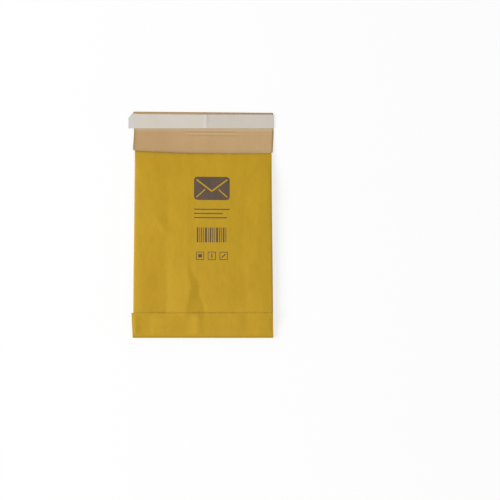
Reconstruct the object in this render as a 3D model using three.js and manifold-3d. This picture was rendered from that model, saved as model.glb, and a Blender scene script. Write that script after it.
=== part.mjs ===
// A padded paper mailing envelope, empty and unsealed, lying with its flap opened flat.
// Millimetres, +Z up. The front panel lies underneath, the back panel on top, and the mouth
// and the flap point along +Y. The origin is the middle of the resting face.
//
// The wall is built as the real one is: a coloured outer paper, a layer of shredded paper fibre
// and a plain inner paper, wrapped round into a flat tube. The bottom end is turned up over the
// back panel, and the front wall runs past the mouth, without fibre, as the sealing flap.
import * as THREE from 'three';
import { mergeVertices } from 'three/addons/utils/BufferGeometryUtils.js';
import Module from 'manifold-3d';

const wasm = await Module();
wasm.setup();

// Driving dimensions of the bag
const BODY_WIDTH = 150; // side fold to side fold, and the width of the flap
const BODY_LENGTH = 198.4; // bottom fold to mouth
const MOUTH_DRAW_IN = 1.6; // each side fold is pulled in this far where the mouth stands open
const POCKET_RISE = 4.6; // air between the two inner papers at the middle of the pocket
const POCKET_RAMP = 62; // length over which the pocket opens from the bottom fold
const POCKET_SHAPE = 5; // higher is a flatter pocket with tighter sides

// The papers and the fibre
const OUTER_PAPER = 0.3;
const INNER_PAPER = 0.3;
const PAD_THICKNESS = 1.9; // one fibre layer where it is fullest
const PAD_ROUND = 20; // distance over which the fibre thins towards its edges
const PAD_MARGIN = 7; // side folds and hems to the edge of the fibre
const PLY_GAP = 0.3; // clearance between neighbouring layers
const POCKET_SLIT = 0.3; // the inner papers never quite touch at the pocket's edges
const BOTTOM_HEM = 9; // flat length without fibre beside the bottom fold
const MOUTH_HEM = 6; // flat length without fibre behind the mouth

// The bottom end, turned up and glued over the back panel
const STRIP_LENGTH = 27;
const STRIP_WIDTH = 151;
const STRIP_SHIFT = -1; // the turned-up end sits a little to the left
const STRIP_THICKNESS = 0.9; // both papers of both walls, pressed flat
const STRIP_LIFT = 0.8; // how far its free edge gapes in the middle

// The flap and its closure
const FLAP_LENGTH = 44.1;
const FLAP_CREASE = 22; // free edge back to the scored fold line
const FLAP_FLARE = 2.5; // length over which the flap widens from the drawn-in mouth
const FLAP_DROOP = 1.6; // height lost between the mouth and the crease
const FLAP_TILT = 0.6; // height regained between the crease and the free edge
const FACING_MARGIN = 0.6; // the inner paper stops this far inside the flap's edges
const LINER_WIDTH = 14.3;
const LINER_EDGE = 2.9; // free edge of the flap to the release liner
const LINER_THICKNESS = 0.2;
const LINER_LEFT_TAB = 5.5; // finger tab past the left edge of the flap
const LINER_RIGHT_TAB = 1.5;
const LINER_CORNER_CUT = 5; // slanted corner of the finger tab
const GLUE_MARGIN = 1.2; // the glue stops this far inside the liner's long edges
const GLUE_THICKNESS = 0.2;

// Places that follow from the sizes
const BOTTOM = -BODY_LENGTH / 2;
const MOUTH = BODY_LENGTH / 2;
const FLAP_EDGE = MOUTH + FLAP_LENGTH;
const CREASE = FLAP_EDGE - FLAP_CREASE;
const PAD_SPACE = PAD_THICKNESS + PLY_GAP;
const POCKET_FLOOR = OUTER_PAPER + PLY_GAP + PAD_SPACE + INNER_PAPER;
const PLAIN_WALL = OUTER_PAPER + PLY_GAP + INNER_PAPER; // a wall where it has no fibre
const FLAT_TUBE = 2 * PLAIN_WALL + POCKET_SLIT; // both walls where the tube is pressed flat
const FOLD_RADIUS = (FLAT_TUBE + PLY_GAP + STRIP_THICKNESS) / 2;
const FOLD_SEAT = 1; // flat length of the bottom fold that overlaps the tube and the strip
const FOLD_AXIS = BOTTOM + FOLD_RADIUS;
const FOLD_END = FOLD_AXIS + FOLD_SEAT;
const JOIN = MOUTH_HEM / 2; // the flap's papers start this far inside the mouth
const PAST_END = 1; // a cut runs this far past the face it opens

// Grid lines that all layers share: fractions of the half width, and places along the length,
// closest together where the layers curve most.
const HALF_LINES = [0.16, 0.35, 0.52, 0.64, 0.74, 0.81, 0.86, 0.905, 0.955];
const ACROSS_LINES = [...HALF_LINES.map((a) => -a).reverse(), ...HALF_LINES];
const FROM_BOTTOM = [BOTTOM_HEM, 12.5, 16, 19.5, 23, 29, 37, 48, 59, 71, 95, 120, 145];
const FROM_MOUTH = [33, 26, 19, 13, 9, MOUTH_HEM];
const ON_FLAP = [0, FLAP_FLARE, 7, 12, 17, FLAP_LENGTH - FLAP_CREASE, 33];
const ALONG_LINES = [
  ...FROM_BOTTOM.map((d) => BOTTOM + d),
  ...FROM_MOUTH.map((d) => MOUTH - d),
  ...ON_FLAP.map((d) => MOUTH + d),
];
const LEAST_CELL = 0.8;

// 0 at an edge, 1 from a given distance inwards, rounded like the shoulder of a cushion.
function shoulder(distance, round) {
  const t = THREE.MathUtils.clamp(distance / round, 0, 1);
  return t * (2 - t);
}

function halfWidth(y) {
  const towardsMouth = THREE.MathUtils.smoothstep(y, BOTTOM, MOUTH);
  return BODY_WIDTH / 2 - MOUTH_DRAW_IN * towardsMouth;
}

// The flap is as wide as the tube at the mouth, and its full width a little further out.
function flapHalfWidth(y) {
  const widened = THREE.MathUtils.smoothstep(y, MOUTH, MOUTH + FLAP_FLARE);
  return THREE.MathUtils.lerp(halfWidth(y), BODY_WIDTH / 2, widened);
}

// 1 well inside the part of a wall that holds fibre, falling to 0 at its edges.
function within(x, y, round) {
  const side = shoulder(halfWidth(y) - Math.abs(x), round);
  const bottom = shoulder(y - BOTTOM - BOTTOM_HEM, round);
  const mouth = shoulder(MOUTH - MOUTH_HEM - y, round);
  return side * bottom * mouth;
}

// Thickness of the fibre in a wall at a place.
const fibre = (x, y) => PAD_THICKNESS * within(x, y, PAD_ROUND);

// Room that the fibre takes in a wall, with its clearance to the paper beside it.
const fibreRoom = (x, y) => fibre(x, y) + PLY_GAP * within(x, y, PAD_MARGIN);

// How far the pocket stands open at a place, from 0 to 1.
function openness(x, y) {
  const across = Math.min(Math.abs(x) / halfWidth(y), 1);
  const along = shoulder(y - BOTTOM - BOTTOM_HEM, POCKET_RAMP);
  return (1 - across ** POCKET_SHAPE) * along;
}

// Heights of the layers, from the resting face up. Where the fibre thins, the outer papers
// close in on the inner ones, and the floor of the pocket stays level.
const frontOutside = (x, y) => PAD_SPACE - fibreRoom(x, y);
const frontInside = (x, y) => frontOutside(x, y) + OUTER_PAPER;
const floorUnder = () => POCKET_FLOOR - INNER_PAPER;
const floorTop = () => POCKET_FLOOR;
const ceilingUnder = (x, y) => POCKET_FLOOR + POCKET_SLIT + POCKET_RISE * openness(x, y);
const ceilingTop = (x, y) => ceilingUnder(x, y) + INNER_PAPER;
const backInside = (x, y) => ceilingTop(x, y) + PLY_GAP + fibreRoom(x, y);
const backOutside = (x, y) => backInside(x, y) + OUTER_PAPER;

// Height of the opened flap against its level at the mouth: it droops, then turns up at the crease.
function flapRise(y) {
  const droop = FLAP_DROOP * THREE.MathUtils.smoothstep(y, MOUTH, CREASE);
  const pastCrease = Math.max(y - CREASE, 0) / FLAP_CREASE;
  return FLAP_TILT * pastCrease - droop;
}

// A closed slab over a strip of the plan, between two height functions. span(y) gives its left
// and right edges at a place along its length. Between its own edges every slab uses the same
// grid lines, so that neighbouring layers follow each other facet by facet.
function slab({ span, from, to, lower, upper }) {
  const narrowest = Math.min(...span(from).map(Math.abs), ...span(to).map(Math.abs));
  const reach = (narrowest - LEAST_CELL) / (BODY_WIDTH / 2);
  const across = ACROSS_LINES.filter((a) => Math.abs(a) < reach);
  const along = ALONG_LINES.filter((y) => y > from + LEAST_CELL && y < to - LEAST_CELL);
  const columns = across.length + 1;
  const ends = [from, ...along, to];
  const grid = new THREE.BoxGeometry(2, 2, 2, columns, ends.length - 1, 1);
  const points = grid.getAttribute('position');
  for (let i = 0; i < points.count; i += 1) {
    const row = Math.round(((points.getY(i) + 1) / 2) * (ends.length - 1));
    const column = Math.round(((points.getX(i) + 1) / 2) * columns);
    const y = ends[row];
    const [left, right] = span(y);
    const x = [left, ...across.map((a) => a * halfWidth(y)), right][column];
    const height = points.getZ(i) > 0 ? upper : lower;
    points.setXYZ(i, x, y, height(x, y));
  }
  return grid;
}

// The plan of the tube, drawn in by a distance from its side folds.
const tubeSpan = (inset) => (y) => [-halfWidth(y) + inset, halfWidth(y) - inset];

// A plan with straight sides.
const straightSpan = (left, right) => () => [left, right];

function toSolid(geometry) {
  const bare = geometry.clone();
  bare.deleteAttribute('normal');
  bare.deleteAttribute('uv');
  const merged = mergeVertices(bare);
  return new wasm.Manifold(
    new wasm.Mesh({
      numProp: 3,
      vertProperties: merged.getAttribute('position').array,
      triVerts: new Uint32Array(merged.index.array),
    }),
  );
}

function toGeometry(solid) {
  const mesh = solid.getMesh();
  const geometry = new THREE.BufferGeometry();
  geometry.setAttribute('position', new THREE.BufferAttribute(mesh.vertProperties, 3));
  geometry.setIndex(new THREE.BufferAttribute(mesh.triVerts, 1));
  geometry.computeVertexNormals();
  return geometry;
}

// The rounded bottom fold, drawn in the Y-Z plane and run across the width of the strip.
function bottomFold() {
  const low = frontOutside(0, BOTTOM);
  const high = low + 2 * FOLD_RADIUS;
  const profile = new THREE.Shape();
  profile.moveTo(FOLD_END, low);
  profile.lineTo(FOLD_END, high);
  profile.lineTo(FOLD_AXIS, high);
  profile.absarc(FOLD_AXIS, low + FOLD_RADIUS, FOLD_RADIUS, Math.PI / 2, 1.5 * Math.PI, false);
  const bar = new THREE.ExtrudeGeometry(profile, {
    depth: STRIP_WIDTH,
    bevelEnabled: false,
    curveSegments: 8,
  });
  // The profile's own axes become Y and Z, and the run of the bar becomes X.
  const turn = new THREE.Matrix4().makeBasis(
    new THREE.Vector3(0, 1, 0),
    new THREE.Vector3(0, 0, 1),
    new THREE.Vector3(1, 0, 0),
  );
  bar.applyMatrix4(turn);
  bar.translate(STRIP_SHIFT - STRIP_WIDTH / 2, 0, 0);
  return bar;
}

// The end of the tube lying on the back panel, from the bottom fold to its gaping free edge.
function turnedUpStrip() {
  const freeEdge = BOTTOM + STRIP_LENGTH;
  const under = (x, y) => {
    const across = 1 - (x / (BODY_WIDTH / 2)) ** 2;
    const gape = THREE.MathUtils.smoothstep(y, BOTTOM + BOTTOM_HEM, freeEdge);
    return backOutside(x, y) + PLY_GAP + STRIP_LIFT * gape * Math.max(across, 0);
  };
  return slab({
    span: straightSpan(STRIP_SHIFT - STRIP_WIDTH / 2, STRIP_SHIFT + STRIP_WIDTH / 2),
    from: FOLD_AXIS,
    to: freeEdge,
    lower: under,
    upper: (x, y) => under(x, y) + STRIP_THICKNESS,
  });
}

// One paper of the opened flap: inset from the flap's edges, lying on a level at the mouth.
function flapPaper(inset, level, thickness) {
  const lower = (x, y) => level + flapRise(y);
  return slab({
    span: (y) => [-flapHalfWidth(y) + inset, flapHalfWidth(y) - inset],
    from: MOUTH - JOIN,
    to: FLAP_EDGE - inset,
    lower,
    upper: (x, y) => lower(x, y) + thickness,
  });
}

// Outer paper: a tube closed at the bottom, with the turned-up end and the flap in one sheet.
function outerWrapper() {
  const tube = slab({
    span: tubeSpan(0),
    from: FOLD_AXIS,
    to: MOUTH,
    lower: frontOutside,
    upper: backOutside,
  });
  const inside = slab({
    span: tubeSpan(OUTER_PAPER),
    from: FOLD_END,
    to: MOUTH + PAST_END,
    lower: frontInside,
    upper: backInside,
  });
  const flap = flapPaper(0, PAD_SPACE, OUTER_PAPER);
  const wrapper = toSolid(tube)
    .subtract(toSolid(inside))
    .add(toSolid(bottomFold()))
    .add(toSolid(turnedUpStrip()))
    .add(toSolid(flap));
  return toGeometry(wrapper);
}

// Inner paper: the lining of the pocket and the plain facing of the flap in one sheet.
function innerLining() {
  const outset = OUTER_PAPER + PLY_GAP;
  const from = FOLD_END + PLY_GAP;
  const tube = slab({
    span: tubeSpan(outset),
    from,
    to: MOUTH,
    lower: floorUnder,
    upper: ceilingTop,
  });
  const pocket = slab({
    span: tubeSpan(outset + INNER_PAPER),
    from: from + INNER_PAPER,
    to: MOUTH + PAST_END,
    lower: floorTop,
    upper: ceilingUnder,
  });
  const facing = flapPaper(FACING_MARGIN, floorUnder(), INNER_PAPER);
  return toGeometry(toSolid(tube).subtract(toSolid(pocket)).add(toSolid(facing)));
}

// One layer of shredded fibre, thinning to its edges, standing on a given height.
function fibrePad(under) {
  return slab({
    span: tubeSpan(PAD_MARGIN),
    from: BOTTOM + BOTTOM_HEM + PAD_MARGIN,
    to: MOUTH - MOUTH_HEM - PAD_MARGIN,
    lower: under,
    upper: (x, y) => under(x, y) + fibre(x, y),
  });
}

const frontPadding = () => fibrePad((x, y) => frontInside(x, y) + PLY_GAP);
const backPadding = () => fibrePad((x, y) => ceilingTop(x, y) + PLY_GAP);

// Height of a layer on the flap's facing.
const facingTop = (y) => POCKET_FLOOR + flapRise(y);
const linerFrom = FLAP_EDGE - LINER_EDGE - LINER_WIDTH;
const linerTo = FLAP_EDGE - LINER_EDGE;

// Pressure-sensitive glue along the flap, under the release liner.
function adhesiveStrip() {
  const lower = (x, y) => facingTop(y) + PLY_GAP;
  return slab({
    span: straightSpan(-BODY_WIDTH / 2 + FACING_MARGIN, BODY_WIDTH / 2 - FACING_MARGIN),
    from: linerFrom + GLUE_MARGIN,
    to: linerTo - GLUE_MARGIN,
    lower,
    upper: (x, y) => lower(x, y) + GLUE_THICKNESS,
  });
}

// Release liner: a strip longer than the flap is wide, with one corner of its finger tab cut off.
function releaseLiner() {
  const left = -BODY_WIDTH / 2 - LINER_LEFT_TAB;
  const right = BODY_WIDTH / 2 + LINER_RIGHT_TAB;
  const outline = new THREE.Shape();
  outline.moveTo(left, linerFrom);
  outline.lineTo(right, linerFrom);
  outline.lineTo(right, linerTo);
  outline.lineTo(left + LINER_CORNER_CUT, linerTo);
  outline.lineTo(left, linerTo - LINER_CORNER_CUT);
  const strip = new THREE.ExtrudeGeometry(outline, { depth: LINER_THICKNESS, bevelEnabled: false });
  const points = strip.getAttribute('position');
  for (let i = 0; i < points.count; i += 1) {
    const seat = facingTop(points.getY(i)) + 2 * PLY_GAP + GLUE_THICKNESS;
    points.setZ(i, points.getZ(i) + seat);
  }
  return strip;
}

const paper = (colour, roughness) =>
  new THREE.MeshStandardMaterial({ color: colour, roughness, metalness: 0 });

const ochrePaper = paper(0xbf9a2f, 0.7);
const tanPaper = paper(0xc19f73, 0.75);
const greyFibre = paper(0xa9a59c, 0.95);
const whiteLiner = paper(0xd6cec4, 0.4);
const clearGlue = paper(0xd8cdb4, 0.3);

const pieces = [
  ['outer_wrapper', outerWrapper(), ochrePaper],
  ['front_padding', frontPadding(), greyFibre],
  ['back_padding', backPadding(), greyFibre],
  ['inner_lining', innerLining(), tanPaper],
  ['adhesive_strip', adhesiveStrip(), clearGlue],
  ['release_liner', releaseLiner(), whiteLiner],
];

const envelope = new THREE.Group();
envelope.name = 'padded_envelope';
for (const [name, geometry, material] of pieces) {
  const mesh = new THREE.Mesh(geometry, material);
  mesh.name = name;
  envelope.add(mesh);
}

export default envelope;
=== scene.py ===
# %% [markdown]
# # A padded envelope, folded from paper
#
# The object is a small mailing bag. An ochre outer paper and a tan inner paper hold a layer of
# shredded fibre between them. The bag lies on its front, so that its back, its turned-up bottom
# end and its opened flap are seen from above.
#
# The first cell loads the solids that the scene has to fit. They give the frame: metres, +Y from
# the bottom fold to the flap, +Z up, and the origin in the middle of the resting face.

import bpy
import numpy as np
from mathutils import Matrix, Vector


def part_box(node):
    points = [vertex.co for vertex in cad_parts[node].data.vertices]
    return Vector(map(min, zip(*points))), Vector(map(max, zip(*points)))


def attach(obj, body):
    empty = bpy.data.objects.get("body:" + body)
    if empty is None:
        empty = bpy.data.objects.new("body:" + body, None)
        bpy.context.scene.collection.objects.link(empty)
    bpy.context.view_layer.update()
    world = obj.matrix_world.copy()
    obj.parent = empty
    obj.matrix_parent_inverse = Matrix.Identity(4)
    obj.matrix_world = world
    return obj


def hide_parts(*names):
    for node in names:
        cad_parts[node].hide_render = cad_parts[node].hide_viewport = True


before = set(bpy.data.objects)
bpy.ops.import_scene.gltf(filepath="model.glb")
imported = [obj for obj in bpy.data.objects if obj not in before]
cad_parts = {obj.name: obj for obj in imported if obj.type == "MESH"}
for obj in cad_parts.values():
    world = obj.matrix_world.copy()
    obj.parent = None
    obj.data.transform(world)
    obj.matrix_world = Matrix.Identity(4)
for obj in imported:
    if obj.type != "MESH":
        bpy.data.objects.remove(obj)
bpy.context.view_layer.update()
print("solids:", sorted(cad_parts))

# %% [markdown]
# ## The sizes of the bag
#
# A bag like this is known by a few lengths: its width between the side folds, its length from the
# bottom fold to the mouth, the flap, and the turned-up end. The main ones could be typed in again,
# but then the scene and the solids could drift apart, so they are read off the outer paper's solid.
# All are in millimetres here, because paper is thought of in millimetres, and turn into metres only
# when a mesh is made. The heights are those of the layers, from the table up.

# %% Name the sizes
MM = 0.001

wrapper_low, wrapper_high = (np.round(np.array(corner) / MM, 2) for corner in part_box("outer_wrapper"))
BODY_WIDTH, BODY_LENGTH = 2 * wrapper_high[0], -2 * wrapper_low[1]
FLAP_LENGTH = wrapper_high[1] - BODY_LENGTH / 2
# The body is drawn in at the mouth, and the flap widens again over a short flare.
MOUTH_DRAW_IN, FLAP_FLARE = 1.6, 1.6
# The flap droops to its crease, which lies this far from its edge, and tilts up beyond it.
FLAP_CREASE, FLAP_DROOP, FLAP_TILT = 22.0, 1.6, 0.6
# The turned-up end is a little wider than the body, and stays level past the body's round sides.
STRIP_LENGTH, STRIP_WIDTH, STRIP_SHIFT, STRIP_OVERHANG = 27.0, 151.0, -1.0, 2.4
# The fibre ends before the folds, with a short rim along the sides and a long one at the hems.
PAD_THICKNESS, PAD_MARGIN, SIDE_ROUND, END_ROUND = 1.9, 7.0, 1.8, 22.0
# The pocket has a height, a length over which it opens, a fullness across, and some air left in it.
POCKET_RISE, POCKET_RAMP, POCKET_SHAPE, POCKET_PUFF = 2.8, 62.0, 2.6, 1.5
BOTTOM_HEM, MOUTH_HEM = 9.0, 6.0
# A side fold bulges out a little at the hems, and further where fibre fills it.
EDGE_ROUND, EDGE_FILL = 0.9, 0.8

# The solids are thick-skinned so that they can be closed bodies: 0.3 mm for each paper and gap.
PLY = 0.3
# The papers that are seen are thin, and touch where no fibre parts them.
PAPER, LINING, TOUCH = 0.14, 0.12, 0.02

BOTTOM, MOUTH = -BODY_LENGTH / 2, BODY_LENGTH / 2
FLAP_EDGE = MOUTH + FLAP_LENGTH
CREASE = FLAP_EDGE - FLAP_CREASE
STRIP_EDGE = BOTTOM + STRIP_LENGTH
STRIP_THICKNESS = 2 * (PAPER + LINING + TOUCH)
PAD_SPACE = PAD_THICKNESS + PLY
POCKET_FLOOR = 3 * PLY + PAD_SPACE
FOLD_RADIUS = (7 * PLY + TOUCH + STRIP_THICKNESS) / 2
FOLD_AXIS = BOTTOM + FOLD_RADIUS
print(f"bag {BODY_WIDTH:.0f} x {FLAP_EDGE - BOTTOM:.1f} mm, bottom fold radius {FOLD_RADIUS:.2f} mm")

# %% [markdown]
# ## How full the bag is
#
# The layers could be modelled one by one by hand, but then they would cut through each other as
# soon as one of them changed. So each layer is a height over the plan, and each height is built on
# the one below it. Two shares drive them all: how much fibre a wall holds at a place, and how far
# the pocket stands open there.

# %% Work out the fullness of the walls
def shoulder(distance, round_length):
    """0 at an edge and 1 from a given distance inwards: t times (2 - t), the arc of a cushion's rim."""
    t = np.clip(distance / round_length, 0.0, 1.0)
    return t * (2.0 - t)


def ease(value, low, high):
    """0 up to low, 1 from high, and 3 t squared - 2 t cubed between them."""
    t = np.clip((value - low) / (high - low), 0.0, 1.0)
    return t * t * (3.0 - 2.0 * t)


def half_width(y):
    """Half the body's width: full at the bottom, drawn in towards the mouth."""
    return BODY_WIDTH / 2 - MOUTH_DRAW_IN * ease(y, BOTTOM, MOUTH)


def between_hems(y, round_length):
    """1 well between the two hems, falling to 0 at each."""
    return shoulder(y - BOTTOM - BOTTOM_HEM, round_length) * shoulder(MOUTH - MOUTH_HEM - y, round_length)


def within(x, y, side_length, end_length):
    """1 well inside the padded area, falling to 0 at the side folds and at both hems."""
    return shoulder(half_width(y) - np.abs(x), side_length) * between_hems(y, end_length)


def edge_round(y):
    """How far a side fold bulges out: little at the hems, more where fibre fills it."""
    return EDGE_ROUND + EDGE_FILL * between_hems(y, END_ROUND)


def openness(x, y):
    """How far the pocket is open: 1 - a power of the share of the half width, ramped up from the bottom."""
    across = np.minimum(np.abs(x) / half_width(y), 1.0)
    return (1.0 - across**POCKET_SHAPE) * shoulder(y - BOTTOM - BOTTOM_HEM, POCKET_RAMP)


def fibre_room(x, y):
    """The fibre's thickness in a wall, with its clearance to the paper."""
    return PAD_THICKNESS * within(x, y, SIDE_ROUND, END_ROUND) + PLY * within(x, y, PAD_MARGIN, PAD_MARGIN)


near_side = half_width(0.0) - SIDE_ROUND / 2
print(f"fibre {fibre_room(0.0, 0.0):.2f} mm in the middle, {fibre_room(near_side, 0.0):.2f} mm near a side")

# %% [markdown]
# ## Fold lines, facets and dents
#
# Paper over loose fibre never lies flat. It bends along a few lines that run up from the glued
# bottom end, and lies almost straight between them, in facets. So the relief is a table of fold
# lines, each a row of places with a height, and the surface runs straight from one line to the next.
# Noise would be quicker, but it would give soft hills instead of facets.

# %% Work out the dents
# Each fold line is a row of (y, x, height), and the lines run from left to right.
FOLD_LINES = [
    [(97, -72, 0), (-97, -72, 0)],
    [(97, -50, 0), (20, -50, 0), (8, -56, 0), (-5, -64, 0), (-72, -67, 0), (-97, -67, 0)],
    [(97, -39, -0.4), (65, -38, -0.9), (43, -37, -1.3), (19, -37, -1.5), (10, -39, -1.2), (-5, -40, -1.5),
     (-32, -38.5, -2.3), (-45, -39.5, -2.6), (-59, -38.5, -2.6), (-72, -40, -2.6), (-97, -43, -0.8)],
    [(97, -18, -0.1), (43, -17, -0.6), (19, -17, -0.6), (5, -17, -0.3), (-18, -17, 0.0), (-35, -15, 0.0),
     (-43, -13.6, 0.0), (-51, -14, 0.1), (-58, -15.5, 0.1), (-66, -18, 0.1), (-72, -18.5, -0.1),
     (-97, -17, -0.5)],
    [(97, -9, -0.4), (70, -8, -0.7), (43, -8, -1.1), (5, -8, -0.9), (-12, -10, -0.3), (-18, -14, -0.2),
     (-26, -12.5, -0.8), (-32, -10.5, -1.1), (-37, -5.5, -1.8), (-43, -3.8, -2.0), (-50, -4.0, -2.2),
     (-58, -1.8, -2.5), (-66, 0.8, -2.7), (-72, 2.2, -2.8), (-86, 2, -1.8), (-97, 1, -0.5)],
    [(97, 2, -0.3), (43, 4, -0.9), (5, 4, -0.7), (-12, 0, -0.2), (-18, -8, -0.1), (-26, -9, -0.4),
     (-32, -7, -0.8), (-37, -2, -1.5), (-43, -0.8, -1.7), (-50, -1.0, -1.8), (-58, 0.6, -1.9),
     (-66, 3.2, -2.0), (-72, 4.8, -2.1), (-97, 5, -0.3)],
    [(97, 30, 0), (43, 26, -0.5), (5, 26, -0.3), (-30, 27, -0.3), (-72, 27, -1.1), (-97, 27, -0.2)],
    [(97, 48, -0.3), (50, 45, -1.0), (10, 42, -0.9), (-25, 43, -0.9), (-55, 46, -1.7), (-80, 47, -1.3),
     (-97, 47, -0.3)],
    [(97, 62, 0), (20, 60, 0), (-20, 58, -0.1), (-60, 63, 0), (-97, 64, 0)],
    [(97, 72, 0), (-97, 72, 0)],
]
# A ridge runs from one place to another, with its height and the widths of its lower and upper side.
RIDGES = [((-48.4, 27.7), (-38, 13.7), 1.05, 4.0, 7.6), ((22, -34), (36, -43), 0.4, 3.0, 5.0)]
# A dent has its place, its two half sizes and its depth.
DENTS = [(-42, 29, 7, 10, 0.5), (-49, 7, 9, 6, 0.4), (26, 14, 12, 9, 0.35), (54, 24, 8, 12, 0.4)]
# A fold line is rounded off this far to either side, and a ridge fades out over these shares of its length.
LINE_SOFTNESS, RIDGE_FADE = 1.1, (-0.3, 0.2)
# All relief calms down towards the sides, the bottom hem and the mouth, where a share of it stays.
CALM_SIDE, CALM_BOTTOM, CALM_MOUTH, MOUTH_SHARE = 6.0, 22.0, 24.0, 0.3


def along_line(y, line):
    """Place and height of a fold line at y: straight between its rows."""
    table = np.array(sorted(line), float).T
    return np.interp(y, table[0], table[1]), np.interp(y, table[0], table[2])


def facets(x, y, lines):
    """Height between fold lines: the first height, plus each next step in the share that x has passed."""
    place, height = along_line(y, lines[0])
    relief = height + 0.0 * x
    for line in lines[1:]:
        next_place, next_height = along_line(y, line)
        relief = relief + (next_height - height) * np.clip((x - place) / (next_place - place), 0.0, 1.0)
        place, height = next_place, next_height
    return relief


def soft_facets(x, y, lines):
    """Facets with their lines rounded off: the mean of three heights side by side."""
    left, right = facets(x - LINE_SOFTNESS, y, lines), facets(x + LINE_SOFTNESS, y, lines)
    return (left + facets(x, y, lines) + right) / 3.0


def ridge_height(x, y, start, end, height, lower, upper):
    """Height of a ridge: a bell curve of the distance to the line between its ends, with unlike sides."""
    (x0, y0), (x1, y1) = start, end
    length = np.hypot(x1 - x0, y1 - y0)
    along = ((x - x0) * (x1 - x0) + (y - y0) * (y1 - y0)) / length**2
    off = ((x - x0) * (y1 - y0) - (y - y0) * (x1 - x0)) / length
    bell = np.exp(-((off / np.where(off > 0, lower, upper)) ** 2))
    return height * bell * ease(along, *RIDGE_FADE) * ease(1.0 - along, *RIDGE_FADE)


def soft_waves(x, y):
    """Waves of a tenth of a millimetre: the sum of three sines of unlike lengths, of which one winds."""
    winding = 0.13 * np.sin(x / 6.3 + 0.8 * np.sin(y / 37.0) + 0.5)
    return winding + 0.12 * np.sin(x / 10.7 - y / 61.0 + 2.1) + 0.08 * np.sin(y / 13.0 + x / 29.0)


def dents(x, y):
    """Height of the back wall's dents: soft waves with the tables' facets, ridges and dents on them."""
    relief = soft_waves(x, y) + soft_facets(x, y, FOLD_LINES)
    for ridge in RIDGES:
        relief = relief + ridge_height(x, y, *ridge)
    for middle_x, middle_y, wide, tall, depth in DENTS:
        relief = relief - depth * np.exp(-(((x - middle_x) / wide) ** 2) - ((y - middle_y) / tall) ** 2)
    calm = shoulder(half_width(y) - np.abs(x), CALM_SIDE) * shoulder(y - BOTTOM - BOTTOM_HEM, CALM_BOTTOM)
    return relief * calm * (MOUTH_SHARE + (1.0 - MOUTH_SHARE) * shoulder(MOUTH - y, CALM_MOUTH))


sample_x, sample_y = np.meshgrid(np.linspace(-70, 70, 141), np.linspace(-95, 95, 191))
relief = dents(sample_x, sample_y)
print(f"dents from {relief.min():.2f} to {relief.max():.2f} mm")

# %% [markdown]
# ## The heights of the layers
#
# From the table up: front paper, fibre, lining, pocket, lining, fibre, back paper, and then the
# turned-up end that lies on the back. The front takes only shallow hollows, because the table
# keeps it flat. The pocket stands open in the body and lies nearly shut at the mouth.

# %% Work out the heights of the walls
FRONT_HOLLOW, HOLLOW_MARGIN = 0.1, 20.0
# Towards its lip the mouth shuts: the pocket loses a share of its height, less on the right, and sinks.
SHUT_LENGTH, MOUTH_LIP, SHUT_SHARE, SHUT_SINK = 48.0, 2.0, 0.5, 0.6
RIGHT_SHARE, RIGHT_REACH = 0.3, 60.0


def front_outside(x, y):
    """Front paper, outside: the fibre's room hangs down to the table, less two sines of shallow hollows."""
    waves = 2.0 + np.sin(x / 9.0 + y / 41.0) + np.sin(x / 17.0 - y / 23.0)
    hollow = FRONT_HOLLOW * waves * within(x, y, HOLLOW_MARGIN, HOLLOW_MARGIN)
    return PAD_SPACE - fibre_room(x, y) + hollow


def hug(x, y):
    """How far the lining moves towards the outer paper: not at all over fibre, until they touch beside it."""
    return (2 * PLY - PAPER - TOUCH) * (1.0 - within(x, y, PAD_MARGIN, PAD_MARGIN))


def floor_under(x, y):
    """Lining of the front wall, its side towards the fibre."""
    return POCKET_FLOOR - PLY - hug(x, y)


def back_without_dents(x, y):
    """Back paper, outside and undented: pocket, air, papers and fibre, lower where the mouth is shut."""
    shut = ease(y, MOUTH - SHUT_LENGTH, MOUTH - MOUTH_LIP)
    lost = SHUT_SHARE - RIGHT_SHARE * ease(x, 0.0, RIGHT_REACH)
    pocket = POCKET_RISE * openness(x, y) * (1.0 - lost * shut) - SHUT_SINK * shut
    puff = POCKET_PUFF * within(x, y, SIDE_ROUND, END_ROUND) * (1.0 - shut)
    return POCKET_FLOOR + 4 * PLY + pocket + puff + fibre_room(x, y)


def back_outside(x, y):
    """Back paper, outside, with its dents."""
    return back_without_dents(x, y) + dents(x, y)


def ceiling_top(x, y):
    """Lining of the back wall, its side towards the fibre: under the back paper and the fibre."""
    return back_outside(x, y) - 2 * PLY - fibre_room(x, y) + hug(x, y)


print(f"top of the back {back_outside(sample_x, sample_y).max():.1f} mm above the table")

# %% [markdown]
# ## The turned-up end
#
# The bottom end of the bag is four papers thick, glued down on the back. It is stiffer than the back
# under it, so it bridges the back's valleys, and its own fold lines run straight across it. It was
# folded a little askew. A flat strip would be simpler, but it would sink into the back's relief, so
# it is built on the height of the back.

# %% Work out the turned-up end
# It follows this share of a valley under it, and more of it over the last stretch to its free edge.
STRIP_FOLLOWS, FREE_EDGE_FOLLOWS, FREE_STRETCH = 0.3, 0.6, 8.0
# Its facets end at its sides over a short fall, and rise from the bottom fold over this stretch.
SIDE_FALL, FACETS_FROM, FACETS_FULL = 0.3, 1.5, 7.0
# This share of its shift to the left comes from its skew.
STRIP_SKEW = 0.8
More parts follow.
